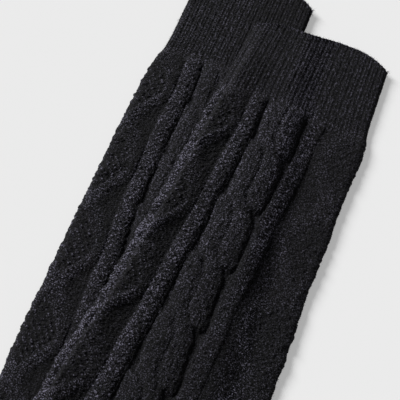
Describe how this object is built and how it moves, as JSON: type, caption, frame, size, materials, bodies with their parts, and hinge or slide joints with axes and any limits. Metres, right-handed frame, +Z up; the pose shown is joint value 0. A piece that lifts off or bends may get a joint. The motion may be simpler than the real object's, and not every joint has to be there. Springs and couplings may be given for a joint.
{
  "type": "pair of knee-high boot socks",
  "caption": "Knee-high cable-knit boot socks laid flat in profile, the upper sock overlapping the lower, with ribbed cuffs, rope cables, cords and diamond columns.",
  "frame": {"origin": "middle of the laid-out pair's bounding box, on the surface that it lies on", "axes": "+Z up from the surface, +Y towards the cuffs, +X towards the toes"},
  "size_m": [0.2761, 0.4948, 0.0171],
  "materials": {
    "rib_knit": "black two-by-two rib knit, soft and matt",
    "cable_knit": "black chunky cable knit, slightly fuzzy, matt",
    "plain_knit": "black plain stocking knit, matt"
  },
  "bodies": {
    "root": {"lower_cuff": "rib_knit", "lower_leg": "cable_knit", "lower_heel": "plain_knit", "lower_foot": "plain_knit", "lower_toe": "plain_knit", "upper_cuff": "rib_knit", "upper_leg": "cable_knit", "upper_heel": "plain_knit", "upper_foot": "plain_knit", "upper_toe": "plain_knit"}
  },
  "joints": []
}
